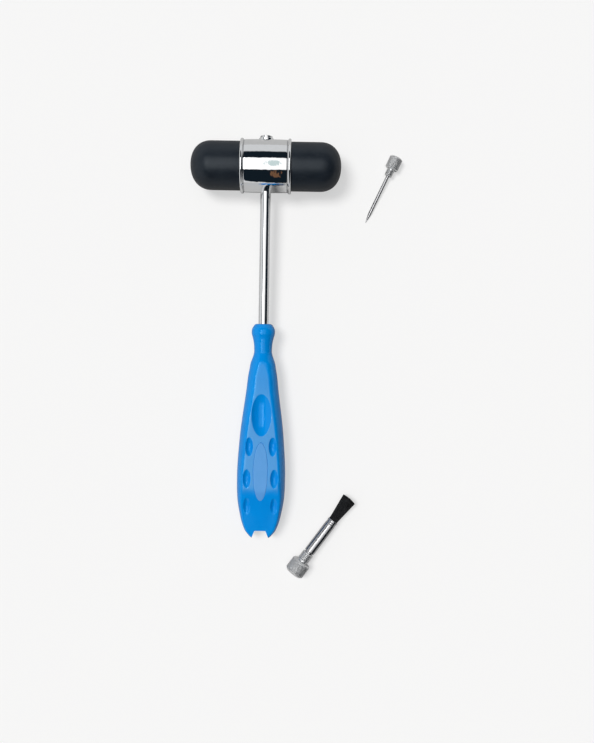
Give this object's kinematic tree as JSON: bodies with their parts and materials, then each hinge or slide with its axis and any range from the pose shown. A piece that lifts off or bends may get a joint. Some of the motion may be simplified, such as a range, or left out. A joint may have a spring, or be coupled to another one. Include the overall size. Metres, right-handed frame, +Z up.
{
  "type": "reflex hammer",
  "caption": "Neurological reflex hammer: rubber bumpers in a chromed band on a chromed stem and a moulded grip, with its screw-in needle and brush laid beside it.",
  "frame": {"origin": "on the table, at the middle of the bottom of the box round the hammer and its two laid-out accessories", "axes": "+Z up from the table; +Y along the hammer's stem in plan, from the grip to the head (the stem itself rises 2.02 degrees towards the head because the hammer rests on its head band and the grip's lower face); +X towards the loose needle and brush"},
  "size_m": [0.0956, 0.199, 0.0242],
  "materials": {
    "blue_plastic": "moulded, satin gloss",
    "inlay_plastic": "smooth, a little glossier than the grip",
    "chrome": "polished chrome plate",
    "rubber": "matt moulded rubber",
    "knurled_steel": "bead-blasted, knurled",
    "plain_steel": "fine turned",
    "core_alloy": "as turned",
    "brass": "as turned",
    "resin": "cast resin",
    "bristle": "cut synthetic bristle"
  },
  "bodies": {
    "hammer": {"handle": "blue_plastic", "grip_inlay_front": "inlay_plastic", "grip_inlay_back": "inlay_plastic", "stem": "chrome", "head_band": "chrome", "head_core": "core_alloy", "bumper_left": "rubber", "bumper_right": "rubber", "needle_socket": "chrome", "brush_socket": "brass"},
    "needle_pin": {"needle_shaft": "plain_steel"},
    "needle_screw": {"needle_knob": "knurled_steel"},
    "brush_plug": {"bristle_plug": "resin"},
    "brush_screw": {"brush_knob": "knurled_steel", "brush_ferrule": "plain_steel", "brush_bristles": "bristle"}
  },
  "joints": [
    {"name": "needle_lift", "type": "slide", "parent": "hammer", "child": "needle_pin", "axis": [0, 0, 1], "range_m": [0, 0.04]},
    {"name": "needle_turn", "type": "hinge", "parent": "needle_pin", "child": "needle_screw", "pos_m": [0.04279, 0.08812, 0.00303], "axis": [0.4157, 0.9038, 0.1021], "continuous": true},
    {"name": "brush_lift", "type": "slide", "parent": "hammer", "child": "brush_plug", "axis": [0, 0, 1], "range_m": [0, 0.04]},
    {"name": "brush_turn", "type": "hinge", "parent": "brush_plug", "child": "brush_screw", "pos_m": [0.00514, -0.09183, 0.0045], "axis": [-0.5931, -0.8045, 0.0306], "continuous": true}
  ]
}
